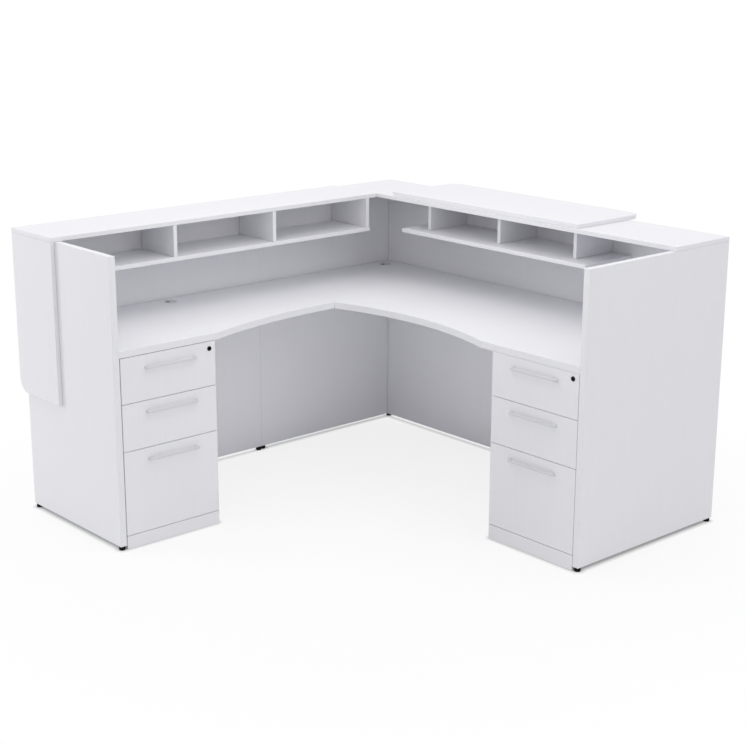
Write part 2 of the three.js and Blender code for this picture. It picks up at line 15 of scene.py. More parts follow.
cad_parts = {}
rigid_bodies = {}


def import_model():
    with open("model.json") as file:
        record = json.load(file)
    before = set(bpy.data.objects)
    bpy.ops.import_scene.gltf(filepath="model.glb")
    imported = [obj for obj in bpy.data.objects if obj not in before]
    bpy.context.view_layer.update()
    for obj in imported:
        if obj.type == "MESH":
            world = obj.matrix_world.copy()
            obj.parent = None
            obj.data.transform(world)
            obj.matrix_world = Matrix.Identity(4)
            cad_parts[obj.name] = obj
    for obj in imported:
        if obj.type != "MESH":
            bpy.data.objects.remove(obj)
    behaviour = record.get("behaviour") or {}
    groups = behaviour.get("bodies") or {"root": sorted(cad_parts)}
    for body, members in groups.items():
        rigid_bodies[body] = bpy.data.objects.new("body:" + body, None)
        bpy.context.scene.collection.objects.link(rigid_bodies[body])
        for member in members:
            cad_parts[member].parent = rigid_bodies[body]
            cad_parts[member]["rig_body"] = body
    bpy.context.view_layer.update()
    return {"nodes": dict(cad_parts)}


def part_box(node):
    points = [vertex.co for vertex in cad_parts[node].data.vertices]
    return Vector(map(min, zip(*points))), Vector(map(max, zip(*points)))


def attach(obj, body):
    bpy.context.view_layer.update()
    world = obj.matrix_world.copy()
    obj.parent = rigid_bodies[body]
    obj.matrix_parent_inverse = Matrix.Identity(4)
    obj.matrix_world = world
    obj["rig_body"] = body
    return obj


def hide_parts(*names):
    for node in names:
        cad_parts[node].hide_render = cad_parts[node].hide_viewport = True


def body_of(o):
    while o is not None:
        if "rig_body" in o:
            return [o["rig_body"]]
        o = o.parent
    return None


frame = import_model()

bl_info = {
    "name": "Reception Desk",
    "version": (1, 0, 0),
    "blender": (4, 5, 0),
    "location": "View3D > Sidebar > Desk",
    "description": "Builds a white laminate reception desk around its CAD frame",
    "category": "Object",
}

MM = 0.001

# The two wings, and the turn that takes a pedestal drawn for the main unit to its own wing
WINGS = {"main": 0.0, "return": math.pi / 2}
DRAWERS = ("file", "middle", "top")

# Relief of the fine grit in a finish
GRIT_RELIEF = 0.05 * MM

# Merging and shading of copied CAD nodes
MERGE = 0.001 * MM
JOINT_REACH = 0.01 * MM
FLAT_ANGLE = math.radians(0.2)
EDGE_ANGLE = math.radians(40)
SMOOTH_ANGLE = math.radians(32)
FACING = 0.999

# Sides of a board that end at a panel with an open joint: the axis, and -1 for its low end or 1 for
# its high end
DIVIDERS = range(1, 4)
JOINTS = {
    "main_back_panel": ((0, -1),),
    "main_worksurface": ((0, -1), (1, 1)),
    "return_worksurface": ((0, -1),),
    "main_shelf": ((1, 1),),
    "return_shelf": ((0, -1),),
    **{f"main_divider_{i}": ((1, 1),) for i in DIVIDERS},
    **{f"return_divider_{i}": ((0, -1),) for i in DIVIDERS},
}

# Corner where the straight part of a work surface's front edge meets its bow: the least and the
# most it turns, half of a usual turn, and the steps of its rounding
BOW_TURN = (math.radians(12), math.radians(30))
BOW_HALF_TURN = math.radians(9)
BOW_STEPS = 6

# Runner screws: their places along and up a plate, as shares of it, the distance of their middle
# from the plate's outer face, the height of a head, its top and its socket's rim as shares of its
# radius, and the socket's depth
SCREW_ALONG = (0.12, 0.5, 0.88)
SCREW_UP = (0.3, 0.72)
SCREW_RISE = 2.4 * MM
SCREW_HEIGHT = 1.8 * MM
SCREW_TOP = 0.62
SCREW_SOCKET = 0.3
SCREW_SOCKET_DEPTH = 0.6 * MM

# Slot of a grommet's cap, whose wall gets painted shade: how far its wall faces the front, and its
# reach as shares of the cap's radius, to the sides and to the front
PAINTED_SHADE_FACING = -0.7
PAINTED_SHADE_REACH = 0.5
PAINTED_SHADE_START = -0.9

# Camera of the photograph, for a square image
CAMERA_PLACE = (4.17829, -3.70195, 2.11741)
CAMERA_AZIMUTH = 48.46
CAMERA_ELEVATION = 15.65
CAMERA_ROLL = 0.15
CAMERA_LENS = 74.576
CAMERA_SENSOR = 36.0

# Light of the studio: the sky's strength, and each lamp's name, place, target, size and power
SKY = 0.58
LAMPS = (
    ("overhead", (0.0, 0.0, 4.5), (0.0, 0.0, 0.0), 7.0, 106.0),
    ("right", (5.5, 0.5, 3.5), (0.9, 0.2, 0.5), 3.0, 32.0),
    ("left", (-4.5, -4.0, 2.2), (-0.6, -0.9, 0.6), 2.5, 68.0),
    ("floor_reflector", (-0.2, 0.15, 0.01), (-0.2, 0.15, 1.0), 0.8, 1.25),
)

# Lamp in the angle of the desk: its name, place, radius and power
INSIDE_LAMP = ("inside", (0.15, -0.25, 1.5), 0.25, 3.6)

# Share of the floor's own white that shows near the desk and away from it, the distances between
# which it rises, and the reach of the painted shadow, drawn by ambient occlusion in the floor's
# glow, under a panel
FLOOR_WHITE = (0.78, 1.0)
FLOOR_FADE = (1.0, 2.0)
FLOOR_PAINTED_SHADOW = 22 * MM
FLOOR_PAINTED_SHADOW_SAMPLES = 8

# The floor is one triangle, so that no edge of it crosses the picture
FLOOR_REACH = 80.0


def linear(code):
    """A colour's sRGB hex value as linear red, green and blue."""
    channels = [int(code[i : i + 2], 16) / 255 for i in (1, 3, 5)]
    return [c / 12.92 if c <= 0.04045 else ((c + 0.055) / 1.055) ** 2.4 for c in channels]


def length(name, description, millimetres):
    """A size that a user may change, given in millimetres."""
    return FloatProperty(
        name=name,
        description=description,
        default=millimetres * MM,
        min=0.0,
        precision=5,
        subtype="DISTANCE",
        unit="LENGTH",
    )


def colour(name, description, code):
    """A colour that a user may change, given as an sRGB hex value."""
    return FloatVectorProperty(
        name=name,
        description=description,
        default=linear(code),
        size=3,
        min=0.0,
        max=1.0,
        subtype="COLOR",
    )


class DeskSizes(bpy.types.PropertyGroup):
    """Sizes of the small shapes that dress the desk."""

    edge_radius: length("Edge radius", "Rounding of every board edge", 0.9)
    band_width: length("Edge band", "Thickness of the edge band, seen on a board's face", 2.0)
    glue_line: length("Glue line", "Width of the line between edge band and face", 0.3)
    joint: length("Joint", "Open joint where an upright board meets a panel", 1.5)
    flat_joint: length("Flat joint", "Open joint behind a work surface or a shelf", 4.0)
    corner_radius: length("Bow corner", "Rounding where a straight front edge meets its bow", 60.0)
    grain_width: length("Grain width", "Width of one streak of the printed grain", 3.2)
    grain_length: length("Grain length", "Length of one streak of the printed grain", 260.0)
    handle_edge: length("Handle edge", "Rounding along a handle's bar", 1.8)
    drawer_rib: length("Drawer rib", "Reach of the steel finish in from a box's sides", 9.5)
    lock_flange: length("Lock flange", "Thickness of a lock's flange", 2.5)
    lock_rim: length("Lock rim", "Width of the flange around a lock's plug", 2.2)
    plug_groove: length("Plug groove", "Width of each side of the groove around the plug", 0.3)
    plug_groove_depth: length("Plug groove depth", "Depth of the groove around the plug", 0.4)
    lock_barrel: length("Lock barrel", "Diameter of a lock's barrel", 13.0)
    foot_pad: length("Foot pad", "Height of a foot's moulded pad", 12.5)
    foot_collar: length("Foot collar", "Width of a foot's hexagon", 14.0)
    foot_collar_top: length("Foot collar top", "Height of the top of a foot's hexagon", 14.7)
    foot_stem: length("Foot stem", "Diameter of a foot's steel stem", 8.0)
    metal_edge: length("Metal edge", "Rounding of the edges of runners", 0.3)
    plastic_edge: length("Soft edge", "Rounding of boxes, locks, grommets and feet", 0.6)
    screw_head: length("Screw head", "Diameter of the runner screws' heads", 7.0)
    key_slot: length("Key slot", "Height of the lock's key slot", 7.0)
    key_slot_width: length("Key slot width", "Width of the lock's key slot", 1.4)
    key_slot_depth: length("Key slot depth", "Depth of the lock's key slot", 1.6)
    key_slot_taper: length("Key slot taper", "Slope of the key slot's walls", 0.1)


class DeskColours(bpy.types.PropertyGroup):
    """Colours of the finishes."""

    laminate: colour("Laminate", "White melamine face of the boards", "#EDEDF1")
    grain: colour("Grain", "Streaks printed in the laminate", "#EBEBEF")
    band: colour("Edge band", "White edge band", "#ECECF0")
    glue: colour("Glue line", "Line between edge band and face", "#DADADD")
    box: colour("Drawer box", "Pale grey drawer boxes", "#D3D5D7")
    zinc: colour("Zinc", "Plated steel of the runners", "#B7BABD")
    handle: colour("Handle", "Satin silver handles", "#DCDCE0")
    black: colour("Black", "Black locks and feet", "#070708")
    # Painted shade: near-black colour given to the inside of a slot in place of its shadow
    slot: colour("Slot", "Inside of a slot", "#020202")
    grommet: colour("Grommet", "Grey cable grommets", "#CFCFD3")
    floor: colour("Floor", "Pale floor under the desk", "#F7F7F8")


def sizes():
    """The sizes that are set in the scene."""
    return bpy.context.scene.desk_sizes


def colours():
    """The colours that are set in the scene."""
    return bpy.context.scene.desk_colours


def opaque(value):
    """A colour with full alpha, for a shader socket."""
    return (*value, 1.0)


def add_node(tree, kind, settings=None, inputs=None):
    """A shader node with its settings, and with a value or a link for each input."""
    node = tree.nodes.new(kind)
    for name, value in (settings or {}).items():
        setattr(node, name, value)
    for name, value in (inputs or {}).items():
        if isinstance(value, bpy.types.NodeSocket):
            tree.links.new(value, node.inputs[name])
        else:
            node.inputs[name].default_value = value
    return node


def start_material(name):
    """A material with a Principled shader, or None in place of its tree where it exists already."""
    material = bpy.data.materials.get(name)
    if material:
        return material, None, None
    material = bpy.data.materials.new(name)
    material.use_nodes = True
    tree = material.node_tree
    tree.nodes.clear()
    shader = add_node(tree, "ShaderNodeBsdfPrincipled")
    add_node(tree, "ShaderNodeOutputMaterial", inputs={"Surface": shader.outputs["BSDF"]})
    return material, tree, shader


def white_laminate(axis):
    """Melamine laminate: resin paper pressed on particle board, satin, with faint printed streaks.

    The width of the streaks is a guess, because the photograph hardly shows them.
    """
    material, tree, shader = start_material(f"white_melamine_laminate_{'xyz'[axis]}")
    if tree is None:
        return material
    across = 1 / sizes().grain_width
    scale = [across, across, across]
    scale[axis] = 1 / sizes().grain_length
    place = add_node(tree, "ShaderNodeTexCoord")
    mapping = add_node(
        tree,
        "ShaderNodeMapping",
        inputs={"Vector": place.outputs["Object"], "Scale": scale},
    )
    streaks = add_node(
        tree,
        "ShaderNodeTexNoise",
        inputs={
            "Vector": mapping.outputs["Vector"],
            "Scale": 1.0,
            "Detail": 4.0,
            "Roughness": 0.62,
        },
    )
    strength = add_node(
        tree,
        "ShaderNodeMapRange",
        inputs={"Value": streaks.outputs["Fac"], "From Min": 0.38, "From Max": 0.66},
    )
    tone = add_node(
        tree,
        "ShaderNodeMix",
        {"data_type": "RGBA"},
        {
            "Factor": strength.outputs["Result"],
            "A": opaque(colours().laminate),
            "B": opaque(colours().grain),
        },
    )
    gloss = add_node(
        tree,
        "ShaderNodeMapRange",
        inputs={"Value": streaks.outputs["Fac"], "To Min": 0.5, "To Max": 0.62},
    )
    relief = add_node(
        tree,
        "ShaderNodeBump",
        inputs={"Height": streaks.outputs["Fac"], "Strength": 0.05, "Distance": 0.08 * MM},
    )
    tree.links.new(tone.outputs["Result"], shader.inputs["Base Color"])
    tree.links.new(gloss.outputs["Result"], shader.inputs["Roughness"])
    tree.links.new(relief.outputs["Normal"], shader.inputs["Normal"])
    shader.inputs["IOR"].default_value = 1.5
    shader.inputs["Specular IOR Level"].default_value = 0.3
    return material


def speckled(name, base, spot, grit, roughness, metallic=0.0, bump=0.1, specular=0.5):
    """A finish with fine grit: spots of another colour, uneven gloss and a slight relief.

    The grit is in millimetres.
    """
    material, tree, shader = start_material(name)
    if tree is None:
        return material
    place = add_node(tree, "ShaderNodeTexCoord")
    grain = add_node(
        tree,
        "ShaderNodeTexNoise",
        inputs={"Vector": place.outputs["Object"], "Scale": 1 / (grit * MM), "Detail": 3.0},
    )
    tone = add_node(
        tree,
        "ShaderNodeMix",
        {"data_type": "RGBA"},
        {"Factor": grain.outputs["Fac"], "A": opaque(base), "B": opaque(spot)},
    )
    gloss = add_node(
        tree,
        "ShaderNodeMapRange",
        inputs={"Value": grain.outputs["Fac"], "To Min": roughness[0], "To Max": roughness[1]},
    )
    height = add_node(
        tree,
        "ShaderNodeBump",
        inputs={"Height": grain.outputs["Fac"], "Strength": bump, "Distance": GRIT_RELIEF},
    )
    tree.links.new(tone.outputs["Result"], shader.inputs["Base Color"])
    tree.links.new(gloss.outputs["Result"], shader.inputs["Roughness"])
    tree.links.new(height.outputs["Normal"], shader.inputs["Normal"])
    shader.inputs["Metallic"].default_value = metallic
    shader.inputs["Specular IOR Level"].default_value = specular
    return material


def shade(value, factor):
    """A colour made lighter or darker by a factor."""
    return [min(1.0, channel * factor) for channel in value]


def edge_band():
    """Extruded ABS edging: even white, a little glossier than the laminate."""
    tone = colours().band
    spot = shade(tone, 0.985)
    return speckled("white_abs_edge_band", tone, spot, 6.0, (0.4, 0.5), bump=0.05, specular=0.35)


def glue_line():
    """Hot glue that shows as a grey hairline between edging and laminate."""
    tone = colours().glue
    return speckled("edge_glue_line", tone, shade(tone, 0.9), 3.0, (0.5, 0.6))


def drawer_lining():
    """Wrapped drawer sides: pale grey foil with a fine grit."""
    tone = colours().box
    return speckled("pale_grey_foil", tone, shade(tone, 0.93), 1.6, (0.45, 0.58))


def plated_steel():
    """Zinc plating on rolled steel: bright grey with soft mottling."""
    tone = colours().zinc
    return speckled("zinc_plated_steel", tone, shade(tone, 0.86), 4.0, (0.26, 0.42), metallic=1.0)


def satin_silver():
    """Die-cast handles with satin silver lacquer: pale, soft highlights, faint grit."""
    tone = colours().handle
    return speckled("satin_silver_lacquer", tone, shade(tone, 0.95), 0.8, (0.4, 0.5), specular=0.3)


def black_lacquer():
    """Black lacquer on the die-cast lock cylinders: dark, with a faint highlight."""
    tone = colours().black
    return speckled("black_lacquered_zinc", tone, shade(tone, 0.8), 0.9, (0.4, 0.5), specular=0.12)


def black_moulded():
    """Moulded black polyethylene of the feet: dark and dull."""
    tone = colours().black
    spot = shade(tone, 1.4)
    return speckled("black_moulded_polyethylene", tone, spot, 0.9, (0.48, 0.6), specular=0.12)


def painted_slot_shade():
    """Painted shade: near-black colour inside a slot, in a lock or in a grommet's cap, in place of
    its shadow.
    """
    tone = colours().slot
    return speckled("painted_slot_shade", tone, shade(tone, 0.7), 0.8, (0.6, 0.7), specular=0.1)


def grommet_plastic():
    """Moulded ABS of the grommets: pale grey with a spark-eroded texture."""
    tone = colours().grommet
    return speckled("grey_moulded_abs", tone, shade(tone, 0.94), 0.7, (0.42, 0.52), bump=0.2)


def cad_copy(node):
    """A bmesh of a CAD node, with its triangles merged into whole flat faces."""
    bm = bmesh.new()
    bm.from_mesh(frame["nodes"][node].data)
    bmesh.ops.remove_doubles(bm, verts=bm.verts[:], dist=MERGE)
    bmesh.ops.dissolve_limit(
        bm,
        angle_limit=FLAT_ANGLE,
        use_dissolve_boundaries=False,
        verts=bm.verts[:],
        edges=bm.edges[:],
    )
    bm.normal_update()
    return bm


def sharp_edges(bm):
    """The edges between faces that meet at a corner."""
    return [e for e in bm.edges if len(e.link_faces) == 2 and e.calc_face_angle() > EDGE_ANGLE]


def round_edges(bm, edges, radius, segments=3):
    """Rounds edges with a bevel."""
    bmesh.ops.bevel(
        bm,
        geom=edges,
        offset=radius,
        offset_type="OFFSET",
        affect="EDGES",
        segments=segments,
        profile=0.5,
        material=-1,
        clamp_overlap=True,
    )
    bm.normal_update()


def add_piece(name, bm, materials, node):
    """A finished piece that stands for a CAD node and rides on its body."""
    mesh = bpy.data.meshes.new(name)
    bm.to_mesh(mesh)
    bm.free()
    for material in materials:
        mesh.materials.append(material)
    mesh.shade_smooth()
    mesh.set_sharp_from_angle(angle=SMOOTH_ANGLE)
    piece = bpy.data.objects.new(name, mesh)
    bpy.context.scene.collection.objects.link(piece)
    flat = piece.modifiers.new("flat_faces", "WEIGHTED_NORMAL")
    flat.keep_sharp = True
    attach(piece, body_of(frame["nodes"][node])[0])
    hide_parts(node)


def thin_axis(node):
    """The axis across a board."""
    low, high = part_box(node)
    return min(range(3), key=lambda i: high[i] - low[i])


def long_axis(node):
    """The axis along a board."""
    low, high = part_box(node)
    return max(range(3), key=lambda i: high[i] - low[i])


def open_joints(bm, node):
    """Draws the ends of a board back from the panels they meet, so that dark joints show there."""
    low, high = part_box(node)
    width = sizes().flat_joint if thin_axis(node) == 2 else sizes().joint
    for axis, end in JOINTS.get(node, ()):
        face = high[axis] if end > 0 else low[axis]
        step = Vector((0, 0, 0))
        step[axis] = -end * width
        verts = [v for v in bm.verts if abs(v.co[axis] - face) < JOINT_REACH]
        bmesh.ops.translate(bm, verts=verts, vec=step)


def make_board(node, name, grain):
    """A laminate board with rounded edges, an edge band all round and the glue line beside it."""
    bm = cad_copy(node)
    open_joints(bm, node)
    make_board_faces(bm, thin_axis(node))
    add_piece(name, bm, [white_laminate(grain), edge_band(), glue_line()], node)


def make_board_faces(bm, thin):
    """Rounds a board's edges, and gives its faces the laminate and its rim the edge band."""
    size = sizes()
    round_edges(bm, sharp_edges(bm), size.edge_radius)
    broad = [f for f in bm.faces if abs(f.normal[thin]) > FACING]
    for face in bm.faces:
        face.material_index = 1
    rim = size.band_width - size.edge_radius
    bmesh.ops.inset_region(bm, faces=broad, thickness=rim, use_even_offset=True)
    line = bmesh.ops.inset_region(bm, faces=broad, thickness=size.glue_line, use_even_offset=True)
    for face in line["faces"]:
        face.material_index = 2
    for face in broad:
        face.material_index = 0


class DESK_OT_panels(bpy.types.Operator):
    """Builds the gables and the back panels of both wings."""

    bl_idname = "desk.panels"
    bl_label = "Gables and back panels"

    def execute(self, context):
        for node in (
            "main_left_gable",
            "main_right_gable",
            "return_gable",
            "main_back_panel",
            "return_back_panel",
        ):
            make_board(node, f"{node}_laminate", 2)
        return {"FINISHED"}


class DESK_OT_counters(bpy.types.Operator):
    """Builds the counters, the slab on the main counter and the panel at the return's end."""

    bl_idname = "desk.counters"
    bl_label = "Counters"

    def execute(self, context):
        for node in ("main_counter", "return_counter", "raised_slab"):
            make_board(node, f"{node}_laminate", long_axis(node))
        make_board("waterfall_panel", "waterfall_panel_laminate", 2)
        return {"FINISHED"}


class DESK_OT_work_surfaces(bpy.types.Operator):
    """Builds the work surfaces with their bowed front edges."""

    bl_idname = "desk.work_surfaces"
    bl_label = "Work surfaces"

    def execute(self, context):
        for wing, grain in (("main", 0), ("return", 1)):
            node = f"{wing}_worksurface"
            bm = cad_copy(node)
            open_joints(bm, node)
            soften_bow(bm)
            make_board_faces(bm, 2)
            materials = [white_laminate(grain), edge_band(), glue_line()]
            add_piece(f"{node}_laminate", bm, materials, node)
        return {"FINISHED"}


def soften_bow(bm):
    """Rounds the upright edge where the straight part of a front edge meets its bow."""
    corner = [
        e
        for e in bm.edges
        if len(e.link_faces) == 2
        and abs((e.verts[0].co - e.verts[1].co).normalized().z) > FACING
        and BOW_TURN[0] < e.calc_face_angle() < BOW_TURN[1]
    ]
    if not corner:
        raise RuntimeError("the work surface has no corner between its straight edge and its bow")
    round_edges(bm, corner, sizes().corner_radius * math.tan(BOW_HALF_TURN), BOW_STEPS)


class DESK_OT_shelves(bpy.types.Operator):
    """Builds the shelves under both counters, with their dividers."""

    bl_idname = "desk.shelves"
    bl_label = "Shelves and dividers"

    def execute(self, context):
        for wing, grain in (("main", 0), ("return", 1)):
            make_board(f"{wing}_shelf", f"{wing}_shelf_laminate", grain)
            for i in DIVIDERS:
                make_board(f"{wing}_divider_{i}", f"{wing}_divider_{i}_laminate", 2)
        return {"FINISHED"}


class DESK_OT_pedestals(bpy.types.Operator):
    """Builds the sides and the bases of the pedestals."""

    bl_idname = "desk.pedestals"
    bl_label = "Pedestals"

    def execute(self, context):
        for wing in WINGS:
            for side in ("left", "right"):
                node = f"{wing}_pedestal_side_{side}"
                make_board(node, f"{node}_laminate", 2)
            node = f"{wing}_pedestal_base"
            bm = cad_copy(node)
            round_edges(bm, sharp_edges(bm), sizes().edge_radius)
            add_piece(f"{node}_laminate", bm, [white_laminate(wide_axis(wing))], node)
        return {"FINISHED"}


def wide_axis(wing):
    """The axis along the width of a wing's pedestal."""
    return 1 if WINGS[wing] else 0


class DESK_OT_drawers(bpy.types.Operator):
    """Builds the drawer fronts and the drawer boxes."""

    bl_idname = "desk.drawers"
    bl_label = "Drawers"

    def execute(self, context):
        for wing in WINGS:
            for drawer in DRAWERS:
                node = f"{wing}_{drawer}_drawer_front"
                make_board(node, f"{node}_laminate", 2)
                make_drawer_box(wing, f"{wing}_{drawer}_drawer_box")
        return {"FINISHED"}


def make_drawer_box(wing, node):
    """An open drawer box in grey foil, with its runner ribs in plated steel."""
    bm = cad_copy(node)
    round_edges(bm, sharp_edges(bm), sizes().plastic_edge, 2)
    low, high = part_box(node)
    axis = wide_axis(wing)
    middle = (low[axis] + high[axis]) / 2
    inner = (high[axis] - low[axis]) / 2 - sizes().drawer_rib
    for face in bm.faces:
        face.material_index = int(abs(face.calc_center_median()[axis] - middle) > inner)
    add_piece(f"{node}_foil", bm, [drawer_lining(), plated_steel()], node)


class DESK_OT_runners(bpy.types.Operator):
    """Builds the runner plates on the pedestal sides, with their screws."""

    bl_idname = "desk.runners"
    bl_label = "Drawer runners"

    def execute(self, context):
        for wing in WINGS:
            for side in ("left", "right"):
                node = f"{wing}_runner_{side}"
                bm = cad_copy(node)
                round_edges(bm, sharp_edges(bm), sizes().metal_edge, 2)
                add_screws(bm, wing, side, node)
                add_piece(f"{node}_steel", bm, [plated_steel()], node)
        return {"FINISHED"}


def add_screws(bm, wing, side, node):
    """Pan-head screws along the plate of a runner, between its channels."""
    low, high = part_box(node)
    across = wide_axis(wing)
    along = 1 - across
    inwards = 1 if side == "left" else -1
    outer = low[across] if inwards > 0 else high[across]
    radius = sizes().screw_head / 2
    for share in SCREW_ALONG:
        for height in SCREW_UP:
            place = Vector((0, 0, low.z + height * (high.z - low.z)))
            place[across] = outer + inwards * SCREW_RISE
            place[along] = low[along] + share * (high[along] - low[along])
            axis = Vector((0, 0, 0))
            axis[across] = inwards
            turn = axis.to_track_quat("Z", "Y").to_matrix().to_4x4()
            head = bmesh.ops.create_cone(
                bm,
                cap_ends=True,
                segments=20,
                radius1=radius,
                radius2=radius * SCREW_TOP,
                depth=SCREW_HEIGHT,
                matrix=Matrix.Translation(place) @ turn,
            )
            verts = head["verts"]
            top = [
                f
                for f in bm.faces
                if f.normal.dot(axis) > FACING and all(v in verts for v in f.verts)
            ]
            bmesh.ops.inset_region(
                bm, faces=top, thickness=radius * SCREW_SOCKET, depth=-SCREW_SOCKET_DEPTH
            )


class DESK_OT_handles(bpy.types.Operator):
    """Builds the bar handles of the drawers."""

    bl_idname = "desk.handles"
    bl_label = "Handles"

    def execute(self, context):
        for wing in WINGS:
            for drawer in DRAWERS:
                node = f"{wing}_{drawer}_drawer_handle"
                add_piece(f"{node}_bar", make_handle(node), [satin_silver()], node)
        return {"FINISHED"}


def wing_matrix(wing, node):
    """Takes a shape drawn with its front towards -Y to the middle of a node on its wing."""
    low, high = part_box(node)
    return Matrix.Translation((low + high) / 2) @ Matrix.Rotation(WINGS[wing], 4, "Z")


def node_size(wing, node):
    """Width and depth of a node, seen from the front of its pedestal."""
    low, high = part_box(node)
    extent = high - low
    across = wide_axis(wing)
    return extent[across], extent[1 - across]


def make_handle(node):
    """A low die-cast bar that bends back into its two legs, with its long edges rounded."""
    bm = cad_copy(node)
    round_edges(bm, sharp_edges(bm), sizes().handle_edge, 4)
    return bm


class DESK_OT_locks(bpy.types.Operator):
    """Builds the lock cylinders of the top drawers."""

    bl_idname = "desk.locks"
    bl_label = "Locks"

    def execute(self, context):
        for wing in WINGS:
            node = f"{wing}_lock"
            bm = make_lock(wing, node)
            add_piece(f"{node}_cylinder", bm, [black_lacquer(), painted_slot_shade()], node)
        return {"FINISHED"}


def make_lock(wing, node):
    """A flanged lock with a turning plug inside it, and a slot for the key."""
    width, depth = node_size(wing, node)
    size = sizes()
    flange = size.lock_flange
    bm = bmesh.new()
    bmesh.ops.create_cone(
        bm,
        cap_ends=True,
        segments=64,
        radius1=width / 2,
        radius2=width / 2,
        depth=flange,
        matrix=Matrix.Translation((0, 0, depth / 2 - flange / 2)),
    )
    front = depth / 2 - MERGE
    rim = [e for e in sharp_edges(bm) if e.verts[0].co.z > front]
    round_edges(bm, rim, size.plastic_edge, 4)
    face = [f for f in bm.faces if f.normal.z > FACING and f.calc_center_median().z > front]
    bmesh.ops.inset_region(bm, faces=face, thickness=size.lock_rim)
    for depth_step in (-size.plug_groove_depth, size.plug_groove_depth):
        bmesh.ops.inset_region(bm, faces=face, thickness=size.plug_groove, depth=depth_step)
    cut_key_slot(bm, face)
    barrel = size.lock_barrel / 2
    bmesh.ops.create_cone(
        bm,
        cap_ends=True,
        segments=48,
        radius1=barrel,
        radius2=barrel,
        depth=depth - flange,
        matrix=Matrix.Translation((0, 0, -flange / 2)),
    )
    bm.transform(wing_matrix(wing, node) @ Matrix.Rotation(math.pi / 2, 4, "X"))
    return bm


def cut_key_slot(bm, face):
    """Sinks a narrow upright slot into the plug's face."""
    size = sizes()
    half = Vector((size.key_slot_width / 2, size.key_slot / 2, 0))
    geometry = face + [e for f in face for e in f.edges] + [v for f in face for v in f.verts]
    top = face[0].calc_center_median().z
    for axis in (0, 1):
        for side in (-1, 1):
            normal = Vector((0, 0, 0))
            normal[axis] = 1
            cut = bmesh.ops.bisect_plane(
                bm, geom=geometry, dist=MERGE, plane_co=normal * side * half[axis], plane_no=normal
            )
            geometry = cut["geom"]
    bm.normal_update()
    slot = []
    for f in bm.faces:
        middle = f.calc_center_median()
        inside = abs(middle.x) < half.x and abs(middle.y) < half.y
        if inside and abs(middle.z - top) < MERGE and f.normal.z > FACING:
            slot.append(f)
    if not slot:
        raise RuntimeError("the key slot was not cut")
    walls = bmesh.ops.inset_region(
        bm, faces=slot, thickness=size.key_slot_taper, depth=-size.key_slot_depth
    )
    # Painted shade: the slot's walls and floor take the near-black slot colour in place of their
    # shadow
    for f in walls["faces"] + slot:
        f.material_index = 1


class DESK_OT_grommets(bpy.types.Operator):
    """Builds the cable grommets and their turning caps."""

    bl_idname = "desk.grommets"
    bl_label = "Cable grommets"

    def execute(self, context):
        for wing in WINGS:
            for part in ("ring", "cap"):
                node = f"{wing}_grommet_{part}"
                bm = cad_copy(node)
                round_edges(bm, sharp_edges(bm), sizes().plastic_edge, 3)
                # Painted shade: the slot's wall and the ring's inside take the near-black slot
                # colour
                paint_grommet_shade(bm, f"{wing}_grommet_cap")
                materials = [grommet_plastic(), painted_slot_shade()]
                add_piece(f"{node}_moulded", bm, materials, node)
        return {"FINISHED"}


def paint_grommet_shade(bm, cap):
    """Paints shade on what shows through the cap's slot: near-black colour on its wall and on the
    ring's inside, in place of their shadow.
    """
    low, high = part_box(cap)
    middle = (low + high) / 2
    reach = (high.x - low.x) / 2
    for face in bm.faces:
        centre = face.calc_center_median()
        place = centre - middle
        within = abs(place.x) < PAINTED_SHADE_REACH * reach and place.y > PAINTED_SHADE_START * reach
        wall = within and face.normal.y < PAINTED_SHADE_FACING
        sunk = place.xy.length < reach and centre.z < low.z
        # Painted shade: the slot's wall and the ring's inside get the near-black slot colour
        face.material_index = int(wall or sunk)


class DESK_OT_feet(bpy.types.Operator):
    """Builds the levelling feet."""

    bl_idname = "desk.feet"
    bl_label = "Levelling feet"

    def execute(self, context):
        for node in sorted(n for n in frame["nodes"] if n.startswith("foot_")):
            materials = [black_moulded(), plated_steel()]
            add_piece(f"{node}_moulded", make_foot(node), materials, node)
        return {"FINISHED"}


def make_foot(node):
    """A moulded pad with a hexagon for a spanner, on a steel stem."""
    low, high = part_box(node)
    middle = (low + high) / 2
    size = sizes()
    bm = bmesh.new()
    shapes = (
        (48, high.x - low.x, 0.0, size.foot_pad, 0),
        (6, size.foot_collar, size.foot_pad, size.foot_collar_top, 0),
        (24, size.foot_stem, size.foot_collar_top, high.z, 1),
    )
    for segments, width, start, end, finish in shapes:
        cone = bmesh.ops.create_cone(
            bm,
            cap_ends=True,
            segments=segments,
            radius1=width / 2,
            radius2=width / 2,
            depth=end - start,
            matrix=Matrix.Translation((middle.x, middle.y, (start + end) / 2)),
        )
        for face in {f for v in cone["verts"] for f in v.link_faces}:
            face.material_index = finish
        rim = [e for e in sharp_edges(bm) if all(v in cone["verts"] for v in e.verts)]
        round_edges(bm, rim, size.plastic_edge, 3)
    return bm


class DESK_OT_stage(bpy.types.Operator):
    """Builds the floor, the lights, the world and the camera."""

    bl_idname = "desk.stage"
    bl_label = "Stage"

    def execute(self, context):
        scene = context.scene
        scene.view_settings.view_transform = "Standard"
        add_floor(scene)
        add_world(scene)
        for lamp in LAMPS:
            add_lamp(scene, *lamp)
        add_bulb(scene, *INSIDE_LAMP)
        add_camera(scene)
        return {"FINISHED"}


def add_floor(scene):
    """A pale floor that is white to the camera where no shadow falls on it."""
    bm = bmesh.new()
    bmesh.ops.create_circle(bm, cap_ends=True, segments=3, radius=FLOOR_REACH)
    mesh = bpy.data.meshes.new("floor")
    bm.to_mesh(mesh)
    bm.free()
    mesh.materials.append(studio_floor())
    floor = bpy.data.objects.new("floor", mesh)
    scene.collection.objects.link(floor)


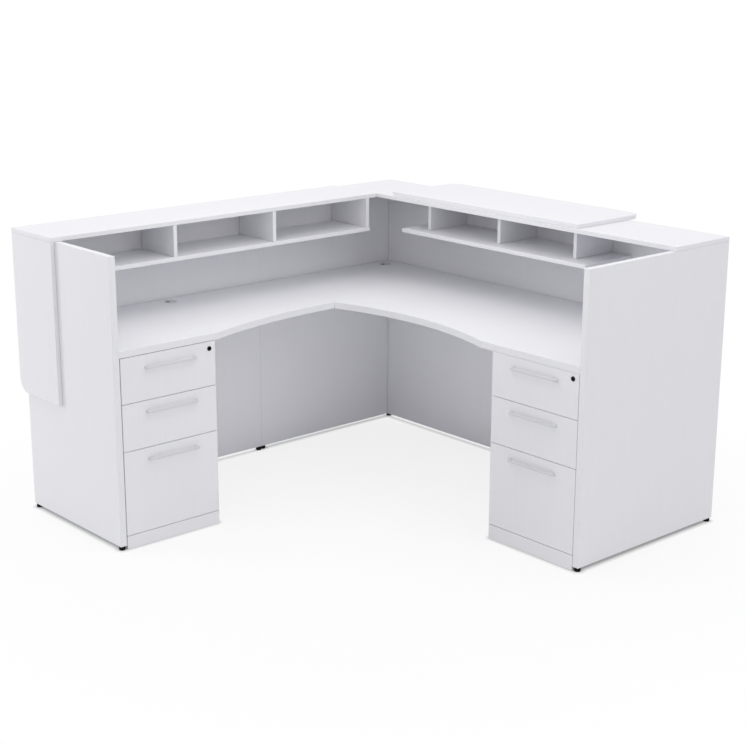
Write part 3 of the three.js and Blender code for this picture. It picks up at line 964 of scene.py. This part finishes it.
def seen_rays(tree):
    """1 for the rays that show a surface to the camera, straight or mirrored, and 0 for others."""
    path = add_node(tree, "ShaderNodeLightPath")
    mirrored = add_node(
        tree,
        "ShaderNodeMath",
        {"operation": "MAXIMUM"},
        {0: path.outputs["Is Glossy Ray"], 1: path.outputs["Is Transmission Ray"]},
    )
    seen = add_node(
        tree,
        "ShaderNodeMath",
        {"operation": "MAXIMUM"},
        {0: path.outputs["Is Camera Ray"], 1: mirrored.outputs["Value"]},
    )
    return seen.outputs["Value"]


def studio_floor():
    """Painted studio floor: dull white that keeps the desk's shadow, pure white further away, with
    a shadow painted into its glow by ambient occlusion close under the panels.
    """
    tone = colours().floor
    material = speckled("pale_studio_floor", tone, shade(tone, 0.99), 40.0, (0.7, 0.8))
    tree = material.node_tree
    output = next(n for n in tree.nodes if n.type == "OUTPUT_MATERIAL")
    paint = next(n for n in tree.nodes if n.type == "BSDF_PRINCIPLED")
    place = add_node(tree, "ShaderNodeTexCoord")
    away = add_node(
        tree,
        "ShaderNodeVectorMath",
        {"operation": "LENGTH"},
        {0: place.outputs["Object"]},
    )
    white = add_node(
        tree,
        "ShaderNodeMapRange",
        inputs={
            "Value": away.outputs["Value"],
            "From Min": FLOOR_FADE[0],
            "From Max": FLOOR_FADE[1],
            "To Min": FLOOR_WHITE[0],
            "To Max": FLOOR_WHITE[1],
        },
    )
    share = add_node(
        tree,
        "ShaderNodeMath",
        {"operation": "MULTIPLY"},
        {0: white.outputs["Result"], 1: seen_rays(tree)},
    )
    # Painted shadow: ambient occlusion darkens the floor's glow close under the panels
    painted_shadow = add_node(
        tree,
        "ShaderNodeAmbientOcclusion",
        {"samples": FLOOR_PAINTED_SHADOW_SAMPLES},
        {"Distance": FLOOR_PAINTED_SHADOW},
    )
    glow = add_node(
        tree,
        "ShaderNodeEmission",
        inputs={"Color": painted_shadow.outputs["Color"], "Strength": 1.0},
    )
    surface = add_node(
        tree,
        "ShaderNodeMixShader",
        inputs={0: share.outputs["Value"], 1: paint.outputs["BSDF"], 2: glow.outputs["Emission"]},
    )
    tree.links.new(surface.outputs["Shader"], output.inputs["Surface"])
    return material


def add_world(scene):
    """Even soft light, and plain white behind the floor."""
    world = bpy.data.worlds.new("soft_studio")
    world.use_nodes = True
    tree = world.node_tree
    tree.nodes.clear()
    strength = add_node(
        tree,
        "ShaderNodeMapRange",
        inputs={"Value": seen_rays(tree), "To Min": SKY, "To Max": 1.0},
    )
    sky = add_node(
        tree,
        "ShaderNodeBackground",
        inputs={"Color": (1.0, 1.0, 1.0, 1.0), "Strength": strength.outputs["Result"]},
    )
    add_node(tree, "ShaderNodeOutputWorld", inputs={"Surface": sky.outputs["Background"]})
    scene.world = world


def add_lamp(scene, name, place, target, size, power):
    """A large square lamp that looks at a point."""
    lamp = bpy.data.lights.new(name, "AREA")
    lamp.energy = power
    lamp.size = size
    body = bpy.data.objects.new(name, lamp)
    body.location = place
    body.rotation_euler = (Vector(target) - Vector(place)).to_track_quat("-Z", "Y").to_euler()
    body.visible_camera = False
    scene.collection.objects.link(body)


def add_bulb(scene, name, place, radius, power):
    """A round lamp that shines to all sides."""
    lamp = bpy.data.lights.new(name, "POINT")
    lamp.energy = power
    lamp.shadow_soft_size = radius
    body = bpy.data.objects.new(name, lamp)
    body.location = place
    body.visible_camera = False
    scene.collection.objects.link(body)


def add_camera(scene):
    """The camera of the photograph."""
    camera = bpy.data.cameras.new("photo_camera")
    camera.lens = CAMERA_LENS
    camera.sensor_width = CAMERA_SENSOR
    body = bpy.data.objects.new("photo_camera", camera)
    tilt = math.radians(90 - CAMERA_ELEVATION)
    aim = Euler((tilt, 0.0, math.radians(CAMERA_AZIMUTH))).to_matrix()
    roll = Matrix.Rotation(math.radians(CAMERA_ROLL), 3, "Z")
    body.rotation_euler = (aim @ roll).to_euler()
    body.location = CAMERA_PLACE
    scene.collection.objects.link(body)
    scene.camera = body


OPERATORS = (
    DESK_OT_panels,
    DESK_OT_counters,
    DESK_OT_work_surfaces,
    DESK_OT_shelves,
    DESK_OT_pedestals,
    DESK_OT_drawers,
    DESK_OT_runners,
    DESK_OT_handles,
    DESK_OT_locks,
    DESK_OT_grommets,
    DESK_OT_feet,
    DESK_OT_stage,
)


class DESK_PT_sidebar(bpy.types.Panel):
    """Lists the desk's sizes, colours and building steps."""

    bl_idname = "DESK_PT_sidebar"
    bl_label = "Reception Desk"
    bl_space_type = "VIEW_3D"
    bl_region_type = "UI"
    bl_category = "Desk"

    def draw(self, context):
        for group in (context.scene.desk_sizes, context.scene.desk_colours):
            column = self.layout.column(align=True)
            for name in group.__annotations__:
                column.prop(group, name)
        for operator in OPERATORS:
            self.layout.operator(operator.bl_idname)


CLASSES = (DeskSizes, DeskColours, *OPERATORS, DESK_PT_sidebar)


def register():
    """Registers the classes and the settings of the scene."""
    for cls in CLASSES:
        bpy.utils.register_class(cls)
    bpy.types.Scene.desk_sizes = PointerProperty(type=DeskSizes)
    bpy.types.Scene.desk_colours = PointerProperty(type=DeskColours)


def unregister():
    """Removes the settings of the scene and the classes."""
    del bpy.types.Scene.desk_colours
    del bpy.types.Scene.desk_sizes
    for cls in reversed(CLASSES):
        bpy.utils.unregister_class(cls)


def main():
    """Builds the desk and its stage."""
    register()
    bpy.ops.desk.panels()
    bpy.ops.desk.counters()
    bpy.ops.desk.work_surfaces()
    bpy.ops.desk.shelves()
    bpy.ops.desk.pedestals()
    bpy.ops.desk.drawers()
    bpy.ops.desk.runners()
    bpy.ops.desk.handles()
    bpy.ops.desk.locks()
    bpy.ops.desk.grommets()
    bpy.ops.desk.feet()
    bpy.ops.desk.stage()


if __name__ == "__main__":
    main()
